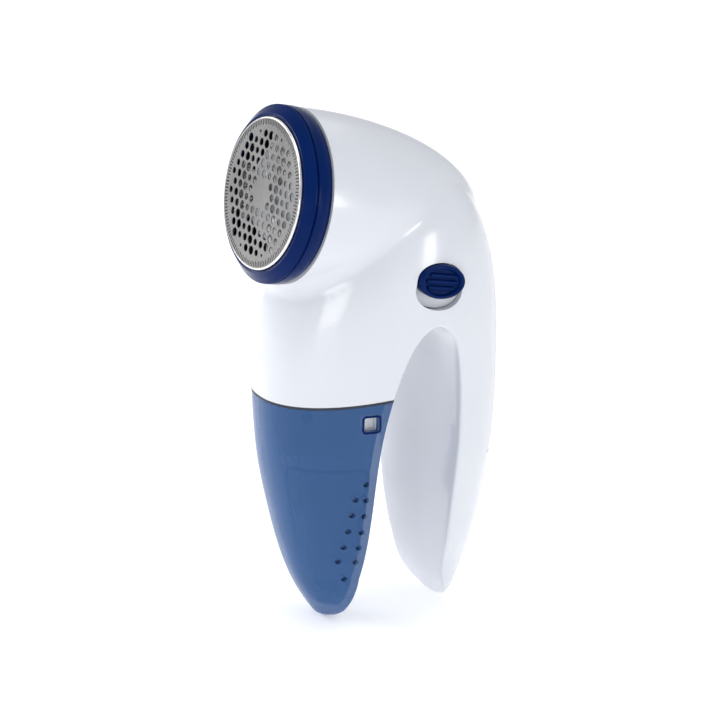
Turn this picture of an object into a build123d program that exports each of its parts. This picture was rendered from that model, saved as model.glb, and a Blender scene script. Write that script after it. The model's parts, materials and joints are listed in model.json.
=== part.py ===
"""Battery fabric shaver: a two-legged body with a round shaving head, a lint container and a battery handle.

Frame: +Z up along the legs, the shaving head faces -Y, +X is the side with the switch. Millimetres.
The origin is under the middle of the body, at the height of the lowest tip.
"""

import math
import os

from build123d import *

# ---- driving dimensions -------------------------------------------------------------------
WALL = 2.0  # housing wall
CUP_WALL = 1.8  # lint container wall
GAP = 0.25  # gap between neighbouring covers
SLIDE_GAP = 0.3  # gap of the container over its socket
RUN = 0.05  # radial running clearance
FAR = 120.0  # longer than anything here

# The shaving head lies on an axis that is tilted upwards; its own frame starts at the foil's face.
HEAD_Y = -34.3
HEAD_Z = 128.1
HEAD_TILT = 12.0
FOIL_R = 21.1
FOIL_SHEET = 0.3
FOIL_FLANGE_R = 22.3
FOIL_SKIRT = 2.2  # depth of the foil's flange
RING_R = 24.7
RING_SPLIT = 3.3  # depth of the joint between the foil ring and the collar
COLLAR_END = 8.4
NECK_R = 21.5  # housing spigot the collar slides onto
NECK_BORE = 20.1
NECK_FRONT = 5.2
HEAD_DEPTH = 8.65  # depth of the housing's front edge behind the foil
DOME_R = 24.5  # the rounded head housing behind the ring
DOME_LENGTH = 60.0

# Cutter chamber, cutter and motor, as depths behind the foil.
CUP_R = 20.0
CUP_END = 18.0
CUTTER_R = 18.4
BLADE_TOP = 0.6
BLADE_FOOT = 3.6
ARM_FOOT = 5.2
HUB_END = 10.0
HUB_DISC_R = 12.5
SPRING_END = 13.4
BRACKET_END = 20.0
BRACKET_R = 16.0
MOTOR_R = 12.0
MOTOR_LENGTH = 25.0
SHAFT_R = 1.0
CUTTERS = 3

# Body sections: (height, front, back, half width), drawn as superellipses.
FULLNESS = 2.25
LEVELS = [
    (0.0, -17.6, 22.0, 7.0),
    (5.0, -20.9, 25.5, 11.2),
    (11.0, -24.2, 28.6, 14.8),
    (20.0, -27.6, 31.6, 18.6),
    (32.0, -30.6, 34.0, 21.6),
    (44.0, -33.0, 36.2, 23.5),
    (56.0, -34.4, 37.6, 24.6),
    (68.0, -35.0, 38.1, 25.2),
    (80.0, -34.4, 38.1, 25.6),
    (91.0, -32.4, 37.6, 25.7),
    (102.0, -28.6, 36.0, 25.4),
    (112.0, -22.0, 33.2, 24.2),
    (120.0, -13.4, 29.4, 21.6),
    (127.0, -3.6, 24.0, 16.8),
    (132.0, 4.0, 18.0, 9.4),
]

# The finger arch between the legs, from the container's tip over the top to the handle's tip (Y, Z).
ARCH = [
    (-14.3, -2.5),
    (-12.5, 5.0),
    (-11.6, 16.0),
    (-10.9, 36.0),
    (-9.5, 56.0),
    (-6.5, 69.5),
    (-2.4, 80.5),
    (2.4, 87.4),
    (7.6, 89.8),
    (12.3, 86.6),
    (15.2, 78.0),
    (16.1, 66.0),
    (15.9, 52.0),
    (15.1, 36.0),
    (15.2, 20.0),
    (16.4, 9.0),
    (18.6, 3.0),
    (21.8, -2.5),
]

CREASE_R = 6.0  # blend between the head housing and the front leg
ARCH_EDGE_R = 1.0

# Lint container: its top rises towards the back.
CUT_Z = 70.9
CUT_SLOPE = 3.2
GASKET = 0.8
SOCKET_BOTTOM = 54.0
SOCKET_WALL = 1.4
WINDOW_Y = -12.9
WINDOW_Z = 64.4
WINDOW_W = 4.2
WINDOW_H = 4.2
LATCH_TRAVEL = 1.2
VENT_R = 0.8
VENTS = [
    (-13.9, 46.4),
    (-16.4, 41.8),
    (-17.0, 36.9),
    (-17.5, 31.8),
    (-18.1, 26.6),
    (-18.9, 21.8),
    (-16.3, 15.6),
    (-13.5, 41.4),
    (-13.7, 36.4),
    (-13.9, 31.2),
    (-14.1, 26.2),
    (-14.3, 21.4),
]
CHUTE_HALF = 11.0
CHUTE_FRONT = -27.4
CHUTE_BACK = -19.2

# Slide switch on the +X side.
SWITCH_Y = 8.3
SWITCH_Z = 103.0
SWITCH_A = 7.5  # half length along Y
SWITCH_B = 4.9  # half height along Z
SWITCH_TRAVEL = 3.0
SWITCH_TILT = -12.0  # the switch leans forwards at its foot
SWITCH_SEAT = 23.0  # where the cap slides
SWITCH_BACK = 20.9  # back of the seat behind the wall
SWITCH_TOP = 26.3

# Two AA cells side by side in the handle, behind a hinged cover.
CELL_R = 7.0
CELL_LENGTH = 49.2
NUB = 1.1
CELL_X = 7.3
CELL_Y = 25.6
CELL_BOTTOM = 52.2
PLATE = 0.4
TRAY_FLOOR = 46.6
COVER_WALL = 1.8
COVER_HALF = 15.8
HINGE_Y = 36.6
HINGE_Z = 46.4
COVER_REACH = 59.5
HOOK_X = 5.0

BOSSES = [(-5.6, 97.6), (21.5, 120.6), (23.6, 37.0)]
BOSS_R = 2.9
SCREW_R = 1.2
SCREW_SEAT = -10.0


def head(shape):
    """Places a shape from the head's own frame (its +Z out of the foil) into the part's frame."""
    tilt = math.radians(HEAD_TILT)
    plane = Plane(
        origin=(0, HEAD_Y, HEAD_Z),
        x_dir=(1, 0, 0),
        z_dir=(0, -math.cos(tilt), math.sin(tilt)),
    )
    return plane.location * shape


def disc(radius, top, bottom, bore=0.0):
    """A cylinder or ring about Z between two heights."""
    shape = Pos(0, 0, (top + bottom) / 2) * Cylinder(radius, top - bottom)
    if bore:
        shape -= Pos(0, 0, (top + bottom) / 2) * Cylinder(bore, top - bottom + 1)
    return shape


def turned(*points):
    """A closed outline of (radius, height) points turned about Z."""
    outline = Plane.XZ * make_face(Polyline(*points, close=True))
    return revolve(outline, Axis.Z)


def block(x, y, z):
    """A box from its (low, high) span on each axis."""
    centre = [(a + b) / 2 for a, b in (x, y, z)]
    size = [b - a for a, b in (x, y, z)]
    return Pos(*centre) * Box(*size)


def rod(y, z, radius, x_low, x_high):
    """A cylinder along X."""
    place = Pos((x_low + x_high) / 2, y, z) * Rot(0, 90, 0)
    return place * Cylinder(radius, x_high - x_low)


def oval_wire(z, front, back, half, inset):
    """One closed superellipse section at height z, drawn inwards by inset."""
    middle, reach, half = (front + back) / 2, (back - front) / 2 - inset, half - inset
    count = 28
    points = []
    for i in range(count):
        c, s = math.cos(2 * math.pi * i / count), math.sin(2 * math.pi * i / count)
        x = half * math.copysign(abs(s) ** (2 / FULLNESS), s)
        y = middle - reach * math.copysign(abs(c) ** (2 / FULLNESS), c)
        points.append(Vector(x, y, z))
    return Wire([Edge.make_spline(points, periodic=True)])


def body_solid(inset=0.0):
    """The body's legs and shoulders as one smooth solid, without the head or the arch."""
    levels = [row for row in LEVELS if row[3] > inset + 2.0 and row[0] >= 0.8 * inset]
    return Solid.make_loft([oval_wire(*row, inset) for row in levels])


def dome_solid(inset=0.0):
    """The rounded head housing: half an ellipse turned about the head's axis."""
    radius, length = DOME_R - inset, DOME_LENGTH - inset
    base = -HEAD_DEPTH
    steps = [math.radians(10 * i) for i in range(10)]
    points = [(radius * math.cos(a), base - length * math.sin(a)) for a in steps]
    arc = Spline(*points, tangents=[(0, -1), (-1, 0)])
    close = Polyline((0, base - length), (0, base), (radius, base))
    outline = Plane.XZ * make_face(arc + close)
    return head(revolve(outline, Axis.Z))


def arch_tool(grow=0.0):
    """What the finger arch takes out of the body, grown outwards by the wall for the inside."""
    top = Spline(*ARCH)
    if grow:
        points = []
        for i in range(49):
            spot, along = top @ (i / 48), top % (i / 48)
            points.append((spot.X - grow * along.Y, spot.Y + grow * along.X))
        top = Spline(*points)
    under = Polyline(top @ 1, (30, -20), (-18, -20), top @ 0)
    return extrude(Plane.YZ * make_face(top + under), FAR, both=True)


def outer_form(inset=0.0):
    """The whole outside, or the inside when inset by the wall, with the arch cut through."""
    form = Part() + body_solid(inset) + dome_solid(inset)
    if inset:
        return form - arch_tool(inset)
    crease = [e for e in form.edges() if e.bounding_box().min.Z > 101 and e.geom_type != GeomType.CIRCLE]
    form = form.fillet(CREASE_R, crease) - arch_tool()
    form = form.fillet(ARCH_EDGE_R, [e for e in form.edges() if is_arch_rim(e)])
    return rounded(form, [e for e in form.edges() if e.bounding_box().max.Z < 0.6 and e.length > 3], (3.0, 2.2, 1.5, 1.0))


def rounded(shape, edges, radii):
    """Rounds the edges with the first radius that works, or leaves them sharp."""
    for radius in radii:
        try:
            result = shape.fillet(radius, edges)
        except ValueError:
            continue
        if result.is_valid and abs(result.volume - shape.volume) < 0.01 * shape.volume:
            return result
    return shape


def is_arch_rim(edge):
    """True for the two long edges where the arch comes out at the sides."""
    box = edge.bounding_box()
    return edge.length > 100 and box.max.Z > 80 and box.min.Z < 10 and abs(edge.center().X) > 3


def cut_plane_block(z_shift=0.0):
    """Everything below the container's joint plane in the front leg."""
    box = block((-FAR, FAR), (-FAR, 2.0), (-FAR, 0))
    return Pos(0, -9.0, CUT_Z + z_shift) * Rot(CUT_SLOPE, 0, 0) * (Pos(0, 9.0, 0) * box)


def oval_prism(y, z, a, b, x_low, x_high):
    """An elliptical prism along X."""
    face = Plane(origin=(x_low, y, z), x_dir=(0, 1, 0), z_dir=(1, 0, 0)) * Ellipse(a, b)
    return extrude(face, x_high - x_low)


def half_space(side):
    """The half of space on one side of the body's middle plane."""
    return block((0, FAR) if side > 0 else (-FAR, 0), (-FAR, FAR), (-FAR, 2 * FAR))


def spring(radius, wire, low, high, turns):
    """A round-wire compression spring about Z between two heights."""
    height = high - low - 2 * wire
    path = Helix(pitch=height / turns, height=height, radius=radius)
    profile = Plane(origin=path @ 0, z_dir=path % 0) * Circle(wire)
    return Pos(0, 0, low + wire) * sweep(profile, path=path)


# ---- shaving head -------------------------------------------------------------------------
def foil_holes():
    """The perforation: rings of holes in three sizes about a plain centre."""
    holes = []
    for k in range(6):
        radius = 4.9 + 2.75 * k
        count = 6 * (k + 2) - (k % 2)
        size = (0.45, 0.75, 0.95)[k % 3]
        for i in range(count):
            angle = 2 * math.pi * (i + 0.5 * (k % 2)) / count
            holes.append(Pos(radius * math.cos(angle), radius * math.sin(angle)) * Circle(size))
    return holes


def foil():
    """Perforated shaving foil with a turned-over skirt and a flange behind the ring."""
    sheet = extrude(Circle(FOIL_R) - foil_holes(), -FOIL_SHEET)
    skirt = disc(FOIL_R, -FOIL_SHEET, -FOIL_SKIRT, FOIL_R - FOIL_SHEET)
    flange = disc(FOIL_FLANGE_R, -FOIL_SKIRT, -FOIL_SKIRT - FOIL_SHEET, FOIL_R - FOIL_SHEET)
    return head(sheet + skirt + flange)


def foil_ring():
    """Front ring: it clamps the foil's flange and turns on the collar."""
    bore = FOIL_R + 0.1
    seat = FOIL_FLANGE_R + 0.2
    return head(
        turned(
            (bore, -1.0),
            (bore + 0.9, -0.7),
            (RING_R - 0.5, -2.6),
            (RING_R, -3.0),
            (RING_R, -RING_SPLIT + 0.1),
            (seat, -RING_SPLIT + 0.1),
            (seat, -FOIL_SKIRT),
            (bore, -FOIL_SKIRT),
        )
    )


def head_collar():
    """Rear collar of the head: it slides onto the housing's neck and carries the ring."""
    bore = NECK_R + 0.1
    spigot = FOIL_FLANGE_R + 0.1
    return head(
        turned(
            (bore, -COLLAR_END),
            (RING_R - 1.0, -COLLAR_END),
            (RING_R, -COLLAR_END + 2.0),
            (RING_R, -RING_SPLIT - 0.7),
            (RING_R - 0.6, -RING_SPLIT - 0.3),
            (RING_R - 0.6, -RING_SPLIT),
            (spigot, -RING_SPLIT),
            (spigot, -FOIL_SKIRT - FOIL_SHEET - 0.1),
            (bore, -FOIL_SKIRT - FOIL_SHEET - 0.1),
        )
    )


def cutter_chamber():
    """Cup the cutter runs in, with the lint outlet at its bottom."""
    cup = turned(
        (NECK_R - 0.1, -NECK_FRONT),
        (NECK_R - 0.1, -NECK_FRONT + 0.8),
        (CUP_R - 1.0, -NECK_FRONT + 0.8),
        (CUP_R - 1.0, -CUP_END + 1.4),
        (3.5, -CUP_END + 1.4),
        (3.5, -CUP_END),
        (CUP_R, -CUP_END),
        (CUP_R, -NECK_FRONT),
    )
    outlet = block((-9, 9), (-CUP_R - 2, -12), (-CUP_END + 1.4, -11.4))
    return head(cup - outlet)


def cutter_hub():
    """Moulded hub: a disc with three arms that carry the blades."""
    hub = disc(3.4, -ARM_FOOT + 1.6, -HUB_END, SHAFT_R)
    hub += disc(3.4, -BLADE_FOOT + 2.2, -BLADE_FOOT, SHAFT_R)
    hub += disc(HUB_DISC_R, -BLADE_FOOT, -ARM_FOOT, SHAFT_R)
    for i in range(CUTTERS):
        arm = block((2.4, CUTTER_R), (-1.6, 1.6), (-ARM_FOOT, -BLADE_FOOT))
        hub += Rot(0, 0, 90 + i * 360 / CUTTERS) * (arm - disc(SHAFT_R, 0, -10))
    return head(hub)


def cutter_blades():
    """Three upright blades on the arms, just under the foil."""
    blades = []
    for i in range(CUTTERS):
        blade = block((3.5, CUTTER_R), (-0.3, 0.3), (-BLADE_FOOT, -BLADE_TOP))
        wedge = make_face(Polyline((0, 0.3), (30, 0.3), (30, -34), (0, -0.6), close=True))
        foot = disc(CUTTER_R, -BLADE_FOOT + 0.5, -BLADE_FOOT, 3.5)
        blade += foot & extrude(Pos(0, 0, -BLADE_FOOT) * wedge, 0.5)
        blades.append(head(Rot(0, 0, 90 + i * 360 / CUTTERS) * blade))
    return blades


def cutter_spring():
    return head(spring(1.9, 0.3, -SPRING_END, -HUB_END, 3))


def spring_washer():
    return head(disc(2.8, -SPRING_END, -SPRING_END - 0.5, SHAFT_R))


# ---- motor --------------------------------------------------------------------------------
def motor_can():
    """Drawn steel can, open at the back."""
    front, back = -BRACKET_END, -BRACKET_END - MOTOR_LENGTH
    can = disc(MOTOR_R, front, back) - disc(MOTOR_R - 0.8, front - 0.8, back - 1)
    can += disc(3.0, front + 1.6, front, 2.0)
    return head(can - disc(2.0, front + 5, front - 5))


def motor_bush():
    front = -BRACKET_END
    return head(disc(2.0, front + 1.6, front - 2.4, SHAFT_R + RUN))


def motor_magnets():
    """Two curved magnets against the can."""
    ring = disc(MOTOR_R - 0.8, -BRACKET_END - 2, -BRACKET_END - 19, 8.9)
    gap = block((-3.5, 3.5), (-FAR, FAR), (-FAR, 0))
    return [head(ring & half_space(side) - gap) for side in (1, -1)]


def motor_rotor():
    """Three-pole armature and commutator on the shaft."""
    core = disc(8.5, -BRACKET_END - 4, -BRACKET_END - 17, SHAFT_R)
    for i in range(3):
        slot = block((4.0, 9.0), (-1.0, 1.0), (-BRACKET_END - 18, -BRACKET_END - 3))
        core -= Rot(0, 0, 30 + 120 * i) * slot
    return head(core + disc(2.8, -BRACKET_END - 17, -BRACKET_END - 22.3, SHAFT_R))


def motor_shaft():
    return head(disc(SHAFT_R, -BLADE_FOOT + 1.8, -BRACKET_END - MOTOR_LENGTH + 0.6))


def motor_endcap():
    """Plastic cap that closes the can and holds the shaft's rear end."""
    back = -BRACKET_END - MOTOR_LENGTH
    cap = disc(MOTOR_R - 0.8, back + 1.6, back) + disc(3.0, back, back - 1.2)
    return head(cap - disc(SHAFT_R + RUN, back + 3, back + 0.4))


def motor_terminals():
    back = -BRACKET_END - MOTOR_LENGTH
    tab = block((-1.2, 1.2), (-0.25, 0.25), (back - 5.0, back))
    return [head(Pos(side * 6.0, 0, 0) * tab) for side in (1, -1)]


def motor_bracket():
    """Plate between the chamber and the motor, with a sleeve round the can."""
    plate = disc(BRACKET_R, -CUP_END, -BRACKET_END, 3.1)
    sleeve = disc(13.8, -BRACKET_END, -BRACKET_END - 8, MOTOR_R)
    return head(plate + sleeve)


# ---- lint path ----------------------------------------------------------------------------
def lint_duct(socket_form, socket_inner, flange_form):
    """Chute from the cutter chamber into the container, with the socket the container hangs on."""
    low = block((-FAR, FAR), (-FAR, 2), (SOCKET_BOTTOM, FAR))
    socket = socket_form & low & cut_plane_block()
    hollow = socket_inner & cut_plane_block()
    flange = flange_form & (cut_plane_block(1.6) - cut_plane_block())
    chute = block((-CHUTE_HALF, CHUTE_HALF), (CHUTE_FRONT, CHUTE_BACK), (CUT_Z, 107)) & flange_form
    bore = block((1.2 - CHUTE_HALF, CHUTE_HALF - 1.2), (CHUTE_FRONT + 1.2, CHUTE_BACK - 1.2), (60, 110))
    duct = (socket - hollow) + flange + chute - (bore & socket_inner)
    duct -= head(disc(CUP_R + 0.1, 5, -40)) + head(disc(FAR / 4, 20, -HEAD_DEPTH - 2.7))
    for side in (1, -1):
        duct -= latch_slot(side)
        duct -= duct_screw_rod(side, 1.8, -6, 4)
    return duct


def duct_screw_rod(side, radius, low, high):
    """A cylinder square to the socket's surface, measured outwards from it."""
    place = Plane(origin=(side * 13.1, -27.6, 66.2), z_dir=(side * 0.62, -0.785, 0)).location
    return place * (Pos(0, 0, (low + high) / 2) * Cylinder(radius, high - low))


def duct_screws():
    """Dark plugs in the socket's side holes."""
    return [duct_screw_rod(side, 1.7, -2.6, -0.7) for side in (1, -1)]


def latch_slot(side):
    """Pocket in the socket's wall for one latch."""
    half_w, half_h = WINDOW_W / 2 - 0.1, WINDOW_H / 2 - 0.1
    slot = block((15, 30), (WINDOW_Y - half_w, WINDOW_Y + half_w), (WINDOW_Z - half_h, WINDOW_Z + half_h))
    return slot if side > 0 else mirror(slot, Plane.YZ)


def latch(side):
    """Sprung button behind the container's window."""
    half_w, half_h = WINDOW_W / 2 - 0.2, WINDOW_H / 2 - 0.2
    place_y = (WINDOW_Y - half_w, WINDOW_Y + half_w)
    button = block((17.0, 20.8), place_y, (WINDOW_Z - half_h, WINDOW_Z + half_h))
    button += block((16.2, 17.0), (WINDOW_Y - 3.0, WINDOW_Y + 1.2), (WINDOW_Z - half_h, WINDOW_Z + 3.0))
    return button if side > 0 else mirror(button, Plane.YZ)


def latch_spring(side):
    coil = Pos(0, WINDOW_Y, WINDOW_Z) * Rot(0, 90, 0) * spring(1.0, 0.2, 9.2, 16.2, 5)
    return coil if side > 0 else mirror(coil, Plane.YZ)


def latch_post():
    """Bar across the socket that the latch springs push against."""
    return block((-9.2, 9.2), (WINDOW_Y - 1.6, WINDOW_Y + 2.0), (WINDOW_Z - 2.0, WINDOW_Z + 2.0))


def lint_container(outer, inner_cup):
    """Translucent cup: the lower front leg, with latch windows and vents."""
    below = cut_plane_block(-GASKET)
    cup = (outer & below) - inner_cup
    window = block((10, 40), (WINDOW_Y - WINDOW_W / 2, WINDOW_Y + WINDOW_W / 2),
                   (WINDOW_Z - WINDOW_H / 2, WINDOW_Z + WINDOW_H / 2))
    cup -= window + mirror(window, Plane.YZ)
    for y, z in VENTS:
        cup -= rod(y, z, VENT_R, 4, 40)
        cup -= rod(y, z, VENT_R, -40, -4)
    return cup


def container_seal(outer, inner_cup):
    """Dark gasket between the container and the housing."""
    return (outer & (cut_plane_block() - cut_plane_block(-GASKET))) - inner_cup


# ---- battery bay --------------------------------------------------------------------------
def battery_cell(side):
    """One AA cell; the left one stands on its button."""
    top = CELL_BOTTOM + CELL_LENGTH
    cell = disc(CELL_R, top, CELL_BOTTOM) + disc(2.7, top + NUB, top)
    if side < 0:
        cell = Pos(0, 0, 2 * CELL_BOTTOM + CELL_LENGTH + NUB) * Rot(180, 0, 0) * cell
    return Pos(side * CELL_X, CELL_Y, 0) * cell


def battery_springs():
    coil = spring(3.2, 0.4, TRAY_FLOOR + PLATE, CELL_BOTTOM, 3)
    return [Pos(side * CELL_X, CELL_Y, 0) * coil for side in (1, -1)]


def contact_bottom():
    """Plate that joins the two lower ends."""
    return block((-12, 12), (CELL_Y - 4.6, CELL_Y + 4.6), (TRAY_FLOOR, TRAY_FLOOR + PLATE))


def contact_tops():
    """Two separate plates over the upper ends."""
    high = CELL_BOTTOM + CELL_LENGTH + NUB
    plate = block((2.2, 11.8), (CELL_Y - 4.6, CELL_Y + 4.6), (high, high + PLATE))
    return [plate, mirror(plate, Plane.YZ)]


def battery_tray(fit_form):
    """Open tray for the cells, with floors for the contact plates."""
    high = CELL_BOTTOM + CELL_LENGTH + NUB + PLATE
    tray = block((-15.6, 15.6), (16.9, CELL_Y + 1), (TRAY_FLOOR - 1.2, high + 1.4))
    tray += block((-14.4, 14.4), (CELL_Y, CELL_Y + 4.8), (TRAY_FLOOR - 1.2, TRAY_FLOOR))
    tray += block((-13.4, 13.4), (CELL_Y, CELL_Y + 5.4), (high, high + 1.4))
    bay = block((-13.4, 13.4), (CELL_Y - 5.4, CELL_Y + 9), (TRAY_FLOOR, high))
    for side in (1, -1):
        bay += Pos(side * CELL_X, CELL_Y, 0) * disc(CELL_R + 0.15, high, TRAY_FLOOR)
    return (tray & fit_form) - bay


def cover_zone(grow):
    """The region of the handle's back that belongs to the battery cover."""
    half = COVER_HALF + grow
    zone = block((-half, half), (22, 60), (HINGE_Z - grow, FAR))
    return zone & rod(HINGE_Y, HINGE_Z, COVER_REACH + grow, -FAR, FAR)


def battery_cover(outer, cover_inner):
    """Hinged cover: a piece of the handle's back with two hooks under its lower edge."""
    cover = (outer - cover_inner) & cover_zone(-GAP / 2)
    for side in (1, -1):
        x = (side * HOOK_X - 1.5, side * HOOK_X + 1.5)
        hook = block(x, (31.2, 33.0), (HINGE_Z - 2.4, HINGE_Z + 3.2))
        hook += block(x, (31.2, 35.0), (HINGE_Z + 0.8, HINGE_Z + 3.2)) & cover_inner
        cover += hook
    return cover


# ---- switch -------------------------------------------------------------------------------
def at_switch_tilt(shape):
    """Turns a piece of the switch about the switch's middle to its place."""
    return Pos(0, SWITCH_Y, SWITCH_Z) * Rot(SWITCH_TILT, 0, 0) * Pos(0, -SWITCH_Y, -SWITCH_Z) * shape


def switch_cap():
    """Ribbed oval thumb piece with a stem through the base."""
    cap = oval_prism(SWITCH_Y, SWITCH_Z, SWITCH_A, SWITCH_B, SWITCH_SEAT, SWITCH_TOP)
    cap = fillet(cap.edges().group_by(Axis.X)[-1], 0.9)
    dish = oval_prism(SWITCH_Y, SWITCH_Z, SWITCH_A - 1.6, SWITCH_B - 1.4, SWITCH_TOP - 1.0, 40)
    cap -= dish
    for i in (-1, 0, 1):
        length = (4.2, 5.4, 4.2)[i + 1]
        rib = block((SWITCH_TOP - 1.2, SWITCH_TOP - 0.2), (SWITCH_Y - length, SWITCH_Y + length),
                    (SWITCH_Z + 2.1 * i - 0.45, SWITCH_Z + 2.1 * i + 0.45))
        cap += rib
    stem = block((17.5, SWITCH_SEAT + 0.5), (SWITCH_Y - 2, SWITCH_Y + 2), (SWITCH_Z - 1.5, SWITCH_Z + 1.5))
    return cap + stem


def travel_oval(grow, x_low, x_high):
    """The oval swept over the switch's travel."""
    zone = oval_prism(SWITCH_Y, SWITCH_Z, SWITCH_A + grow, SWITCH_B + grow, x_low, x_high)
    low = SWITCH_Z - SWITCH_TRAVEL
    zone += oval_prism(SWITCH_Y, low, SWITCH_A + grow, SWITCH_B + grow, x_low, x_high)
    half = SWITCH_A + grow
    zone += block((x_low, x_high), (SWITCH_Y - half, SWITCH_Y + half), (low, SWITCH_Z))
    return zone


def switch_base():
    """Plug in the opening that the cap slides on, with a rim behind the wall."""
    plate = travel_oval(1.6, SWITCH_BACK - 1.4, SWITCH_BACK)
    plate += travel_oval(0.1, SWITCH_BACK, SWITCH_SEAT - 0.1)
    low = SWITCH_Z - SWITCH_TRAVEL - 1.8
    slot = block((15, 30), (SWITCH_Y - 2.3, SWITCH_Y + 2.3), (low, SWITCH_Z + 1.8))
    return plate - slot


def switch_slider():
    """Block inside that moves with the cap and bridges the contacts."""
    body = block((16.4, SWITCH_BACK - 1.5), (SWITCH_Y - 4, SWITCH_Y + 4), (SWITCH_Z - 2.6, SWITCH_Z + 2.6))
    return body - block((17.5, 30), (SWITCH_Y - 2, SWITCH_Y + 2), (SWITCH_Z - 1.5, SWITCH_Z + 1.5))


def switch_body():
    """Fixed lower half of the switch, carried on two posts from the base plate."""
    low, high = SWITCH_Z - SWITCH_TRAVEL - 4.4, SWITCH_Z + 4.4
    plate = block((14.6, 16.0), (SWITCH_Y - 6.6, SWITCH_Y + 6.6), (low, high))
    for side in (1, -1):
        post = block((16.0, SWITCH_BACK - 1.4), (SWITCH_Y - 1, SWITCH_Y + 1), (low, high))
        plate += Pos(0, side * 5.6, 0) * post
    return plate


def switch_contacts():
    """Two strips on the fixed half."""
    low, high = SWITCH_Z - SWITCH_TRAVEL - 3.6, SWITCH_Z + 3.6
    strip = block((16.0, 16.3), (SWITCH_Y - 0.8, SWITCH_Y + 0.8), (low, high))
    return [Pos(0, side * 2.2, 0) * strip for side in (1, -1)]


# ---- housing ------------------------------------------------------------------------------
def housing_shell(outer, inner, core):
    """Both halves in one piece, with every opening and seat."""
    shell = outer - inner
    neck = head(disc(NECK_R, -NECK_FRONT, -HEAD_DEPTH - 2.4))
    front = head(disc(DOME_R - 0.6, -HEAD_DEPTH, -HEAD_DEPTH - 2.4)) & outer
    ledge = head(disc(FAR / 2, -BRACKET_END, -BRACKET_END - 1.8)) & core
    shell += neck + front + (ledge - head(disc(14.0, 0, -60)) - below_head())
    for y, z in BOSSES:
        shell += rod(y, z, BOSS_R, -FAR, FAR) & core
    shell += at_switch_tilt(travel_oval(2.2, SWITCH_BACK, 40)) & core
    shell -= head(disc(NECK_BORE, 20, -HEAD_DEPTH - 2.4))
    shell -= at_switch_tilt(travel_oval(0.3, SWITCH_BACK, 60))
    shell -= cut_plane_block()
    shell -= cover_zone(GAP / 2)
    for y, z in BOSSES:
        shell -= rod(y, z, SCREW_R, SCREW_SEAT - 1, 8)
        shell -= rod(y, z, 2.4, -FAR, SCREW_SEAT)
    return shell


def below_head():
    """Keeps the motor ledge out of the lower body."""
    return block((-FAR, FAR), (-FAR, FAR), (-FAR, 104))


def housing_screws():
    """Three self-tapping screws from the left."""
    screws = []
    for y, z in BOSSES:
        screw = rod(y, z, SCREW_R, SCREW_SEAT, 8) + rod(y, z, 2.2, SCREW_SEAT - 1.5, SCREW_SEAT)
        slot = block((SCREW_SEAT - 2, SCREW_SEAT - 1.0), (y - 1.6, y + 1.6), (z - 0.3, z + 0.3))
        cross = block((SCREW_SEAT - 2, SCREW_SEAT - 1.0), (y - 0.3, y + 0.3), (z - 1.6, z + 1.6))
        screws.append(screw - slot - cross)
    return screws


def save(name, shape):
    """Writes one named part, joining several solids into one compound."""
    solids = []
    for item in shape if isinstance(shape, list) else [shape]:
        solids += list(item.solids())
    result = solids[0] if len(solids) == 1 else Compound(children=solids)
    result.label = name
    export_step(result, os.path.join("parts", name + ".step"))
    volume = sum(solid.volume for solid in solids)
    print(name, len(solids), round(volume, 1), all(s.is_valid for s in solids))


def main():
    os.makedirs("parts", exist_ok=True)
    outer = outer_form() - head(disc(RING_R + 0.5, 20, -HEAD_DEPTH))
    inner = outer_form(WALL)
    cup_inner = outer_form(CUP_WALL)
    core = outer_form(0.8) & block((-FAR, FAR), (-FAR, FAR), (-FAR, 2 * FAR))
    socket_form = outer_form(CUP_WALL + SLIDE_GAP)
    socket_inner = outer_form(CUP_WALL + SLIDE_GAP + SOCKET_WALL)
    fit_form = outer_form(WALL + 0.1)

    shell = housing_shell(outer, inner, core)
    save("housing_right", shell & half_space(1))
    save("housing_left", shell & half_space(-1))
    save("lint_container", lint_container(outer, cup_inner))
    save("container_seal", container_seal(outer, cup_inner))
    duct = lint_duct(socket_form, socket_inner, fit_form)
    save("lint_duct", duct + latch_post())
    save("duct_screws", duct_screws())
    save("latch_right", latch(1))
    save("latch_left", latch(-1))
    save("latch_spring_right", latch_spring(1))
    save("latch_spring_left", latch_spring(-1))
    save("battery_cover", battery_cover(outer, cup_inner))
    save("battery_tray", battery_tray(fit_form))
    save("battery_cell_right", battery_cell(1))
    save("battery_cell_left", battery_cell(-1))
    save("battery_springs", battery_springs())
    save("contact_bottom", contact_bottom())
    save("contact_tops", contact_tops())
    save("foil", foil())
    save("foil_ring", foil_ring())
    save("head_collar", head_collar())
    save("cutter_chamber", cutter_chamber())
    save("cutter_hub", cutter_hub())
    save("cutter_blades", cutter_blades())
    save("cutter_spring", cutter_spring())
    save("spring_washer", spring_washer())
    save("motor_can", motor_can())
    save("motor_bush", motor_bush())
    save("motor_magnets", motor_magnets())
    save("motor_rotor", motor_rotor())
    save("motor_shaft", motor_shaft())
    save("motor_endcap", motor_endcap())
    save("motor_terminals", motor_terminals())
    save("motor_bracket", motor_bracket())
    save("switch_cap", at_switch_tilt(switch_cap()))
    save("switch_base", at_switch_tilt(switch_base()))
    save("switch_slider", at_switch_tilt(switch_slider()))
    save("switch_body", at_switch_tilt(switch_body()))
    save("switch_contacts", [at_switch_tilt(strip) for strip in switch_contacts()])
    save("housing_screws", housing_screws())


if __name__ == "__main__":
    main()
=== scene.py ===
"""Looks of the battery fabric shaver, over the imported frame.

Lengths are metres, except in the foil, lathe(), plate() and the leg ends, where they are millimetres.
"""
import json
import math

import bmesh
import bpy
from mathutils import Matrix, Vector
from mathutils.bvhtree import BVHTree


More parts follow.
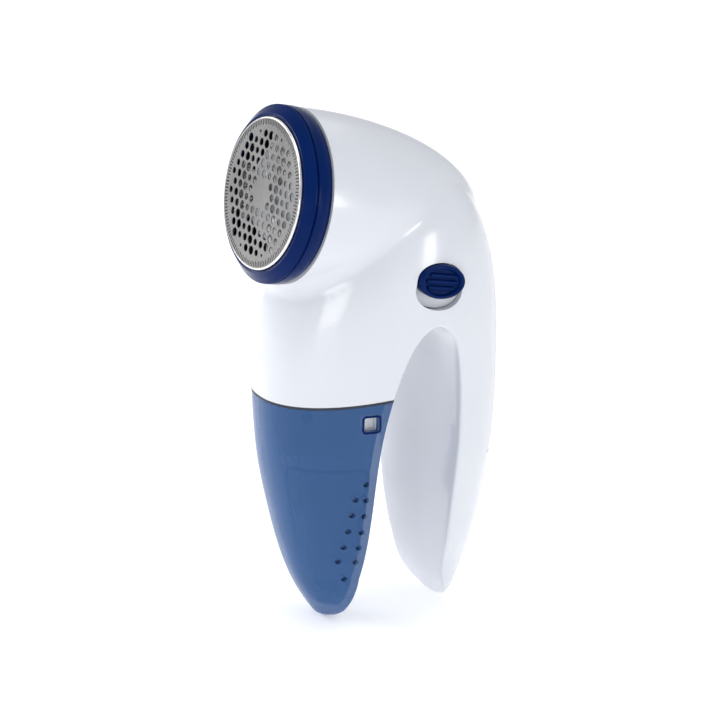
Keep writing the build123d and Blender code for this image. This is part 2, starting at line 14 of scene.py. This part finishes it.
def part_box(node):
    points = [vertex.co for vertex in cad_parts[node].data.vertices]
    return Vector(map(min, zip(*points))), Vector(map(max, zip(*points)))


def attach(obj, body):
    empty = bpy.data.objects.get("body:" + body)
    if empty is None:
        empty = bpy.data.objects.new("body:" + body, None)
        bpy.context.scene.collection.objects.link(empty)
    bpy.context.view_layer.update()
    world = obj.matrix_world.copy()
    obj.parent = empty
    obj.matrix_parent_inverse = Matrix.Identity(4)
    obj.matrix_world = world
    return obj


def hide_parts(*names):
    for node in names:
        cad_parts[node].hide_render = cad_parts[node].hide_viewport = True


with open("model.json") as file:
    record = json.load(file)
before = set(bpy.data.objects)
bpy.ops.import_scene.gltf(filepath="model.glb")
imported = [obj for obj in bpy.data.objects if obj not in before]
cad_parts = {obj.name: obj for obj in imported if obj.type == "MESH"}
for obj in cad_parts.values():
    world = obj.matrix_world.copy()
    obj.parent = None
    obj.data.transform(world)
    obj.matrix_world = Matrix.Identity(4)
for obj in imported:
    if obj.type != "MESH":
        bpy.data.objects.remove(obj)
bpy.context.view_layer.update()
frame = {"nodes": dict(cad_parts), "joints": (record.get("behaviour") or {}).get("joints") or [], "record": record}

MM = 0.001
WELD_GAP = 2e-6  # metres: nearer points than this are one point
CAD_EDGE = 32  # degrees: sharper edges than this stay sharp on the CAD meshes and their copies
NODES = frame["nodes"]

# ---- places taken from the frame ------------------------------------------------------------
SPIN = [j for j in frame["joints"] if j["name"] == "cutter_spin"][0]
AXIS = Vector(SPIN["axis"]).normalized()
FACE = Vector(SPIN["pos_m"])
HEAD_X = Vector((1, 0, 0))
HEAD_Y = AXIS.cross(HEAD_X)
HEAD = Matrix.Translation(FACE) @ Matrix((HEAD_X, HEAD_Y, AXIS)).transposed().to_4x4()


# ---- camera, light and floor ----------------------------------------------------------------
def make_camera():
    azimuth, elevation, distance = math.radians(60), math.radians(18), 0.85
    target = Vector((0, 0.002, 0.077))
    back = Vector((
        math.sin(azimuth) * math.cos(elevation),
        -math.cos(azimuth) * math.cos(elevation),
        math.sin(elevation),
    ))
    data = bpy.data.cameras.new("camera")
    data.sensor_width = 36
    data.lens = 149.6  # millimetres
    data.shift_x = -0.0224
    data.shift_y = -0.0132
    data.clip_start = 0.05
    data.clip_end = 20
    camera = bpy.data.objects.new("camera", data)
    camera.location = target + back * distance
    camera.rotation_mode = "QUATERNION"
    camera.rotation_quaternion = (-back).to_track_quat("-Z", "Y")
    bpy.context.scene.collection.objects.link(camera)
    bpy.context.scene.camera = camera


def area_light(name, place, aim, size, size_y, power):
    data = bpy.data.lights.new(name, "AREA")
    data.shape = "RECTANGLE"
    data.size = size
    data.size_y = size_y
    data.energy = power
    lamp = bpy.data.objects.new(name, data)
    lamp.location = place
    lamp.rotation_mode = "QUATERNION"
    lamp.rotation_quaternion = (Vector(aim) - Vector(place)).to_track_quat("-Z", "Y")
    bpy.context.scene.collection.objects.link(lamp)
    return lamp


def make_stage():
    scene = bpy.context.scene
    scene.view_settings.view_transform = "Standard"
    scene.view_settings.look = "None"
    world = bpy.data.worlds.new("studio")
    world.use_nodes = True
    background = world.node_tree.nodes["Background"]
    background.inputs[0].default_value = (0.93, 0.95, 1.0, 1)
    background.inputs[1].default_value = 0.54
    scene.world = world
    area_light("key", (-0.25, -0.75, 0.55), (0, 0, 0.08), 0.5, 0.5, 1.8)
    area_light("front", (0.75, -0.85, 0.22), (0, 0.02, 0.05), 0.5, 0.3, 1.8)
    area_light("fill", (0.9, 0.25, 0.35), (0, 0, 0.08), 0.5, 0.7, 0.22)
    area_light("window", (0.74, 0.40, 0.20), (0.02, 0, 0.11), 0.12, 0.30, 0.8)
    area_light("top", (0.1, 0.1, 0.9), (0, 0, 0.1), 0.6, 0.6, 1.7)
    area_light("side", (-0.8, -0.5, 0.4), (0, 0, 0.05), 0.35, 0.35, 1.5)
    low_side = area_light("low_side", (-0.30, -0.17, 0.10), (0, 0.015, 0.05), 0.08, 0.10, 0.16)
    low_side.visible_glossy = False  # its reflection would burn out the foil
    area_light("wash", (-1.0, 0.6, 1.3), (-1.1, 0.65, 0), 1.6, 1.6, 4.5)
    mesh = bpy.data.meshes.new("floor")
    reach = 3.0
    corners = [(-reach, -reach, 0), (reach, -reach, 0), (reach, reach, 0), (-reach, reach, 0)]
    mesh.from_pydata(corners, [], [(0, 1, 2, 3)])
    floor = bpy.data.objects.new("floor", mesh)
    floor.location.z = -0.0002  # just clear of the leg ends
    scene.collection.objects.link(floor)
    mat = material("floor_paper", (0.95, 0.95, 0.95), roughness=0.8, bump=0.02, grain=400)
    shader = mat.node_tree.nodes["Principled BSDF"]
    shader.inputs["Emission Color"].default_value = (0.97, 0.98, 1.0, 1)
    shader.inputs["Emission Strength"].default_value = 0.36
    mesh.materials.append(mat)


# ---- materials ------------------------------------------------------------------------------
def material(name, colour, roughness=0.3, metallic=0.0, bump=0.0, grain=300.0, vary=0.0, coat=0.0,
             rough_vary=0.0, ior=1.5, gloss=0.5):
    """Principled surface with noise in its colour, its gloss and its height. Grain is in cells per metre."""
    mat = bpy.data.materials.new(name)
    mat.use_nodes = True
    tree = mat.node_tree
    nodes, links = tree.nodes, tree.links
    shader = nodes["Principled BSDF"]
    shader.inputs["Base Color"].default_value = (*colour, 1)
    shader.inputs["Roughness"].default_value = roughness
    shader.inputs["Metallic"].default_value = metallic
    shader.inputs["IOR"].default_value = ior
    shader.inputs["Specular IOR Level"].default_value = gloss
    shader.inputs["Coat Weight"].default_value = coat
    shader.inputs["Coat Roughness"].default_value = 0.08
    place = nodes.new("ShaderNodeTexCoord")
    noise = nodes.new("ShaderNodeTexNoise")
    noise.inputs["Scale"].default_value = grain
    noise.inputs["Detail"].default_value = 4
    links.new(place.outputs["Object"], noise.inputs["Vector"])
    broad = nodes.new("ShaderNodeTexNoise")
    broad.inputs["Scale"].default_value = 40
    broad.inputs["Detail"].default_value = 3
    links.new(place.outputs["Object"], broad.inputs["Vector"])
    if vary:
        ramp = nodes.new("ShaderNodeValToRGB")
        ramp.color_ramp.elements[0].position = 0.35
        ramp.color_ramp.elements[1].position = 0.65
        ramp.color_ramp.elements[0].color = (*[c * (1 - vary) for c in colour], 1)
        ramp.color_ramp.elements[1].color = (*[min(1, c * (1 + vary)) for c in colour], 1)
        links.new(broad.outputs["Fac"], ramp.inputs["Fac"])
        links.new(ramp.outputs["Color"], shader.inputs["Base Color"])
    if rough_vary:
        spread = nodes.new("ShaderNodeMapRange")
        spread.inputs["To Min"].default_value = max(0.02, roughness - rough_vary)
        spread.inputs["To Max"].default_value = roughness + rough_vary
        links.new(broad.outputs["Fac"], spread.inputs["Value"])
        links.new(spread.outputs["Result"], shader.inputs["Roughness"])
    if bump:
        relief = nodes.new("ShaderNodeBump")
        relief.inputs["Strength"].default_value = bump
        relief.inputs["Distance"].default_value = 0.0002
        links.new(noise.outputs["Fac"], relief.inputs["Height"])
        links.new(relief.outputs["Normal"], shader.inputs["Normal"])
    return mat


def clear_plastic(name, colour, roughness, alpha):
    """Tinted plastic that lets some light through, less at its edges, where the wall is seen end on."""
    mat = material(name, colour, roughness, bump=0.012, grain=400, vary=0.04, rough_vary=0.04, ior=1.4)
    tree = mat.node_tree
    weight = tree.nodes.new("ShaderNodeLayerWeight")
    weight.inputs["Blend"].default_value = 0.35
    spread = tree.nodes.new("ShaderNodeMapRange")
    spread.inputs["To Min"].default_value = alpha
    spread.inputs["To Max"].default_value = 1.0
    tree.links.new(weight.outputs["Facing"], spread.inputs["Value"])
    tree.links.new(spread.outputs["Result"], tree.nodes["Principled BSDF"].inputs["Alpha"])
    return mat


PAINTED_LIGHT_NODES = ("latch_right", "latch_left")  # the latch tabs take a lighter copy of the housing white, painted light against the shade of their recess; the others their slot's material


def make_materials():
    """Makes every material, and gives each CAD node its own."""
    made = {"blue_clear": clear_plastic("blue_clear", (0.028, 0.105, 0.285), 0.2, 0.64)}

    def add(name, colour, roughness, bump, grain, rough_vary, **more):
        made[name] = material(name, colour, roughness, bump=bump, grain=grain, rough_vary=rough_vary, **more)

    add("white_plastic", (0.70, 0.718, 0.757), 0.2, 0.03, 900, 0.05, vary=0.012, coat=0.35)
    add("navy_plastic", (0.0002, 0.013, 0.09), 0.2, 0.015, 900, 0.05, vary=0.05, gloss=0.07)
    # painted light: the latch tabs are the housing's white plastic, made lighter here to offset the shade in their
    # recess
    add("latch_painted_light", (0.9, 0.9, 0.92), 0.25, 0.03, 900, 0.05, coat=0.3)
    add("grey_plastic", (0.42, 0.45, 0.50), 0.42, 0.2, 1800, 0.06, vary=0.04)
    add("black_plastic", (0.012, 0.012, 0.014), 0.42, 0.25, 1800, 0.08, vary=0.1)
    add("seal_rubber", (0.012, 0.018, 0.035), 0.5, 0.15, 900, 0.08, vary=0.1)
    add("magnet", (0.05, 0.045, 0.042), 0.65, 0.3, 2500, 0.1, vary=0.15)
    add("cell_wrap", (0.025, 0.026, 0.03), 0.22, 0.04, 700, 0.06, vary=0.08, coat=0.5)
    add("foil_steel", (0.36, 0.353, 0.342), 0.26, 0.06, 1500, 0.1, vary=0.1, metallic=1.0)
    add("foil_rim", (0.78, 0.77, 0.75), 0.14, 0.02, 900, 0.05, metallic=1.0)
    add("blade_steel", (0.72, 0.72, 0.72), 0.2, 0.08, 1200, 0.06, metallic=1.0)
    add("spring_steel", (0.55, 0.56, 0.58), 0.25, 0.05, 1500, 0.08, metallic=1.0)
    add("zinc_steel", (0.66, 0.67, 0.68), 0.3, 0.08, 600, 0.1, vary=0.05, metallic=1.0)
    add("brass", (0.70, 0.50, 0.20), 0.28, 0.06, 900, 0.08, vary=0.06, metallic=1.0)
    add("laminations", (0.24, 0.24, 0.25), 0.42, 0.3, 2500, 0.1, vary=0.1, metallic=0.9)
    slot_of = {s["node"]: s["material_slot"] for s in frame["record"]["subparts"]}
    for name, node in NODES.items():
        node.data.materials.clear()
        node.data.materials.append(made["latch_painted_light" if name in PAINTED_LIGHT_NODES else slot_of[name]])
    return made


def smooth_cad():
    """Shades the CAD pieces smooth between their real edges."""
    for node in NODES.values():
        for face in node.data.polygons:
            face.use_smooth = True
        weld = node.modifiers.new("weld", "WELD")
        weld.merge_threshold = WELD_GAP
        split = node.modifiers.new("edges", "EDGE_SPLIT")
        split.split_angle = math.radians(CAD_EDGE)


# ---- mesh helpers ---------------------------------------------------------------------------
def finish_piece(name, mesh, mat, body, nodes=(), matrix=None, angle=35):
    """Links a mesh as a named piece, smooth between its sharp edges, and ties it to its body."""
    if matrix is not None:
        mesh.transform(matrix)
    piece = bpy.data.objects.new(name, mesh)
    bpy.context.scene.collection.objects.link(piece)
    mesh.materials.clear()
    mesh.materials.append(mat)
    for face in mesh.polygons:
        face.use_smooth = True
    split = piece.modifiers.new("edges", "EDGE_SPLIT")
    split.split_angle = math.radians(angle)
    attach(piece, body)
    if nodes:
        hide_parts(*nodes)
    return piece


def lathe(outline, count=144):
    """Mesh of a closed (radius, height) outline in millimetres, turned about Z."""
    points, faces = [], []
    for i in range(count):
        angle = 2 * math.pi * i / count
        points += [(r * math.cos(angle) * MM, r * math.sin(angle) * MM, z * MM) for r, z in outline]
    n = len(outline)
    for i in range(count):
        a, b = i * n, (i + 1) % count * n
        for k in range(n):
            j = (k + 1) % n
            faces.append((a + k, b + k, b + j, a + j))
    mesh = bpy.data.meshes.new("lathe")
    mesh.from_pydata(points, [], faces)
    fix_normals(mesh)
    return mesh


def fix_normals(mesh):
    work = bmesh.new()
    work.from_mesh(mesh)
    bmesh.ops.recalc_face_normals(work, faces=work.faces)
    work.to_mesh(mesh)
    work.free()


def plate(loops, thickness):
    """Flat plate with holes: the first loop is its edge, the others its holes, all in millimetres."""
    curve = bpy.data.curves.new("plate", "CURVE")
    curve.dimensions = "2D"
    curve.fill_mode = "BOTH"
    curve.extrude = thickness / 2 * MM
    for loop in loops:
        spline = curve.splines.new("POLY")
        spline.points.add(len(loop) - 1)
        spline.use_cyclic_u = True
        for point, (x, y) in zip(spline.points, loop):
            point.co = (x * MM, y * MM, 0, 1)
    holder = bpy.data.objects.new("plate", curve)
    bpy.context.scene.collection.objects.link(holder)
    bpy.context.view_layer.update()
    mesh = bpy.data.meshes.new_from_object(holder)
    bpy.data.objects.remove(holder)
    return mesh


def ring_of(radius, count, x=0.0, y=0.0):
    """Points of a circle about (x, y), in the units of its radius."""
    turns = [2 * math.pi * i / count for i in range(count)]
    return [(x + radius * math.cos(turn), y + radius * math.sin(turn)) for turn in turns]


# ---- shaving foil ---------------------------------------------------------------------------
PITCH = 3.05
ROW_STEP = 0.88 * PITCH
PLAIN_R = 3.4  # no holes inside this
FINE_R = 17.2  # only fine holes past this
LAST_R = 18.2  # no holes past this
HOLE_SIZES, FINE_HOLE = (1.24, 0.92, 1.06), 0.45
SLOT_COUNT = 132
SHEET = 0.25  # thickness
RIM_OUTLINE = (  # radius and height, over the rolled edge and down to the flange and back
    (20.49, -0.02), (20.62, 0.02), (20.8, -0.02), (20.97, -0.14), (21.08, -0.32), (21.1, -0.55), (21.1, -2.2),
    (22.25, -2.2), (22.25, -2.48), (20.85, -2.48), (20.82, -0.6), (20.7, -0.32), (20.49, -0.24),
)


def foil_lattice():
    """Hexagonal lattice of holes in three sizes, left plain in the middle."""
    holes = []
    for row in range(-7, 8):
        for column in range(-8, 9):
            x = PITCH * (column + 0.5 * (row % 2))
            y = ROW_STEP * row
            reach = math.hypot(x, y)
            if reach < PLAIN_R or reach > LAST_R:
                continue
            size = HOLE_SIZES[(column + row + row // 2) % 3]
            if reach > FINE_R:
                size = FINE_HOLE
            holes.append(ring_of(size, 16, x, y))
    return holes


def foil_slots():
    """Fine radial slots round the edge, every other one a little shorter."""
    slots = []
    outer, half = 20.3, 0.17
    for i in range(SLOT_COUNT):
        angle = 2 * math.pi * i / SLOT_COUNT
        inner = 18.7 if i % 2 else 19.0
        c, s = math.cos(angle), math.sin(angle)
        corners = [(inner, -half), (outer, -half), (outer, half), (inner, half)]
        slots.append([(r * c - t * s, r * s + t * c) for r, t in corners])
    return slots


def make_foil(mats):
    sheet = plate([ring_of(20.5, 144)] + foil_lattice() + foil_slots(), SHEET)
    sheet.transform(Matrix.Translation((0, 0, -SHEET / 2 * MM)))
    rim = lathe(RIM_OUTLINE)
    finish_piece("foil_sheet", sheet, mats["foil_steel"], "foil_unit", ["foil"], HEAD)
    finish_piece("foil_rim", rim, mats["foil_rim"], "foil_unit", ["foil"], HEAD)


# ---- switch ---------------------------------------------------------------------------------
THUMB_A, THUMB_B = 0.0075, 0.0049  # half length and half width of the oval
DISH_EDGE, DISH_SLOPE, DISH_DEPTH = 0.83, 0.12, 0.0011  # the first two are shares of the oval
RIB_HALF, RIB_HIGH, RIB_END = 0.00062, 0.00085, 0.0006
RIBS = ((-0.36, 0.50), (0.0, 0.60), (0.36, 0.50))  # place across and half length, as shares of the oval
DISH_RINGS, THUMB_SIDES = 46, 128


def make_switch(mats):
    """Thumb piece: an oval with a beaded rim, a dish and three rounded ribs."""
    low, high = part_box("switch_cap")
    centre_y, centre_z = (low.y + high.y) / 2, (low.z + high.z) / 2
    slide = [j for j in frame["joints"] if j["name"] == "switch_slide"][0]
    up = -Vector(slide["axis"]).normalized()
    across = up.cross(Vector((1, 0, 0)))
    across = across if across.y > 0 else -across
    top = high.x
    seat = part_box("switch_base")[1].x + 0.0001
    count, points, faces = THUMB_SIDES, [], []
    # share of the oval and height below the top; None is a height taken from the dish
    rings = [(1.0, seat - top), (1.0, -0.0011), (0.985, -0.0006), (0.955, -0.00025)]
    rings += [(0.91, -0.00005), (0.87, 0.0), (DISH_EDGE, -0.00006)]
    rings += [(DISH_EDGE - DISH_EDGE * i / DISH_RINGS, None) for i in range(1, DISH_RINGS)]
    for share, depth in rings:
        for i in range(count):
            angle = 2 * math.pi * i / count
            y, z = THUMB_A * share * math.cos(angle), THUMB_B * share * math.sin(angle)
            x = depth if depth is not None else dish_height(y, z)
            points.append(Vector((top + x, centre_y, centre_z)) + across * y + up * z)
    for k in range(len(rings) - 1):
        for i in range(count):
            j = (i + 1) % count
            faces.append((k * count + i, k * count + j, (k + 1) * count + j, (k + 1) * count + i))
    points.append((top + dish_height(0, 0), centre_y, centre_z))
    last = (len(rings) - 1) * count
    faces += [(last + i, last + (i + 1) % count, len(points) - 1) for i in range(count)]
    faces.append(tuple(range(count)))
    mesh = bpy.data.meshes.new("switch")
    mesh.from_pydata(points, [], faces)
    fix_normals(mesh)
    mat = mats["navy_plastic"]
    finish_piece("switch_thumb", mesh, mat, "switch_cap", ["switch_cap"], angle=60)


def dish_height(y, z):
    """Height of the dish and its ribs, from the top of the rim down, at a place on the oval."""
    reach = math.hypot(y / THUMB_A, z / THUMB_B)
    wall = min(1.0, max(0.0, (DISH_EDGE - reach) / DISH_SLOPE))
    depth = DISH_DEPTH * wall * wall * (3 - 2 * wall) + 0.00006
    best = 0.0
    for place, length in RIBS:
        across = abs(z - place * THUMB_B) / RIB_HALF
        along = max(0.0, (abs(y) - length * THUMB_A) / RIB_END)
        near = math.hypot(across, along)
        if near < 1:
            best = max(best, (1 - near * near) ** 0.5)
    return -depth + best * RIB_HIGH * wall


# ---- lint container --------------------------------------------------------------------------
WINDOW = (-0.0129, 0.0644)  # middle of each latch window (y, z)
CUP_MIDDLE = -0.0152  # y of the tip of the container
RIB_AXIS = -0.0195  # y of the upright line that the rib frame's angles are taken about


def wall_tree(name):
    work = bmesh.new()
    work.from_mesh(NODES[name].data)
    tree = BVHTree.FromBMesh(work)
    work.free()
    return tree


def bead_mesh(name, centres, outs, high, wide, closed):
    """Mesh of a rounded bead along a line of points: its height is along outs, its width square to that."""
    points, faces, count = [], [], 12
    last = len(centres)
    for i, centre in enumerate(centres):
        after = centres[(i + 1) % last] if closed or i + 1 < last else centre
        before = centres[i - 1] if closed or i else centre
        along = (after - before).normalized()
        out = (outs[i] - along * outs[i].dot(along)).normalized()
        side = along.cross(out)
        for k in range(count):
            angle = 2 * math.pi * k / count
            points.append(centre + out * (high * math.cos(angle)) + side * (wide * math.sin(angle)))
    for i in range(last if closed else last - 1):
        j = (i + 1) % last
        for k in range(count):
            m = (k + 1) % count
            faces.append((i * count + k, i * count + m, j * count + m, j * count + k))
    if not closed:
        faces.append(tuple(range(count)))
        faces.append(tuple(range((last - 1) * count, last * count)))
    mesh = bpy.data.meshes.new(name)
    mesh.from_pydata(points, [], faces)
    fix_normals(mesh)
    return mesh


TIP_HEIGHTS = (0.0, 0.5, 1.0, 2.0, 3.0, 5.0, 8.0, 11.0, 15.0)
CUP_TIP = (0.45, 0.74, 0.92, 1.06, 1.12, 1.13, 1.10, 1.06, 1.0)
HANDLE_TIP = (1.0, 1.22, 1.36, 1.48, 1.48, 1.38, 1.20, 1.08, 1.0)
CUP_PINCH = 3.0  # below this height the container's tip is also drawn in along Y


def tip_scale(widths, height):
    """How many times as wide as the CAD shape the rounded tip is at a height in millimetres."""
    for i in range(len(TIP_HEIGHTS) - 1):
        if height < TIP_HEIGHTS[i + 1]:
            share = (height - TIP_HEIGHTS[i]) / (TIP_HEIGHTS[i + 1] - TIP_HEIGHTS[i])
            return widths[i] + (widths[i + 1] - widths[i]) * share
    return 1.0


def make_round_tips(mats):
    """Copies of the container and of both housing halves, with rounder ends on their legs."""
    pieces = [
        ("container_cup", "lint_container", "container", "blue_clear", CUP_TIP),
        ("housing_skin_right", "housing_right", "housing", "white_plastic", HANDLE_TIP),
        ("housing_skin_left", "housing_left", "housing", "white_plastic", HANDLE_TIP),
    ]
    for name, node, body, slot, widths in pieces:
        mesh = NODES[node].data.copy()
        for vertex in mesh.vertices:
            height = vertex.co.z / MM
            if height > TIP_HEIGHTS[-1]:
                continue
            scale = tip_scale(widths, max(0.0, height))
            vertex.co.x *= scale
            if height < CUP_PINCH and node == "lint_container":
                vertex.co.y = CUP_MIDDLE + (vertex.co.y - CUP_MIDDLE) * min(1.0, scale)
        piece = finish_piece(name, mesh, mats[slot], body, [node], angle=CAD_EDGE)
        weld = piece.modifiers.new("weld", "WELD")
        weld.merge_threshold = WELD_GAP
        piece.modifiers.move(1, 0)  # the weld comes before the edge split


def rib_path():
    """Angle about RIB_AXIS and height along the frame of ribs: up, over and down, with rounded corners."""
    left, right, low, high = -60, 19, 0.024, 0.050
    round_left, round_right, drop = 8, 6, 0.003
    side = high - drop
    turn = math.pi / 16
    path = [(left, low + (side - low) * i / 24) for i in range(24)]
    for t in range(8):
        path.append((left + round_left * (1 - math.cos(t * turn)), side + drop * math.sin(t * turn)))
    start, end = left + round_left, right - round_right
    path += [(start + (end - start) * i / 30, high) for i in range(31)]
    for t in range(1, 9):
        path.append((end + round_right * math.sin(t * turn), side + drop * math.cos(t * turn)))
    path += [(right, side - (side - low) * i / 24) for i in range(1, 24)]
    return path


def make_ribs(mats, tree):
    """A frame of low ribs on each side of the container's inside, seen faintly through its wall."""
    for side, name in ((1, "ribs_right"), (-1, "ribs_left")):
        centres, outs = [], []
        for degrees, z in rib_path():
            angle = math.radians(degrees)
            way = Vector((side * math.cos(angle), math.sin(angle), 0))
            hit = tree.ray_cast(Vector((0, RIB_AXIS, z)), way, 0.032)[0]
            if hit is None:  # the ray left through a vent
                continue
            centres.append(hit - way * 0.0002)
            outs.append(-way)
        mesh = bead_mesh(name, centres, outs, 0.0007, 0.0004, False)
        finish_piece(name, mesh, mats["blue_clear"], "container", angle=80)


def make_window_shade_beads(mats, tree):
    """A thin moulded bead round each latch window, lying on the container's surface, coloured navy as painted
    shade round the window.
    """
    middle_y, middle_z = WINDOW
    half, corner = 0.0024, 0.0009
    path = []
    per_corner = 8
    for step, (turn_y, turn_z) in enumerate(((1, 1), (-1, 1), (-1, -1), (1, -1))):
        for i in range(per_corner + 1):
            angle = math.radians(90 * step + 90 * i / per_corner)
            y = (half - corner) * turn_y + corner * math.cos(angle)
            z = (half - corner) * turn_z + corner * math.sin(angle)
            path.append((middle_y + y, middle_z + z))
    for side, name in ((1, "window_shade_bead_right"), (-1, "window_shade_bead_left")):
        hits = [tree.ray_cast(Vector((side * 0.06, y, z)), Vector((-side, 0, 0)), 0.05)[0] for y, z in path]
        centres = [hit for hit in hits if hit is not None]
        mesh = bead_mesh(name, centres, [Vector((side, 0, 0))] * len(centres), 0.0002, 0.00032, True)
        # navy instead of the container's clear blue: painted shade round the latch window
        finish_piece(name, mesh, mats["navy_plastic"], "container", angle=80)


# ---- making ---------------------------------------------------------------------------------
make_camera()
make_stage()
MATS = make_materials()
smooth_cad()
make_foil(MATS)
make_switch(MATS)
CUP_TREE = wall_tree("lint_container")
make_round_tips(MATS)
make_ribs(MATS, CUP_TREE)
make_window_shade_beads(MATS, CUP_TREE)
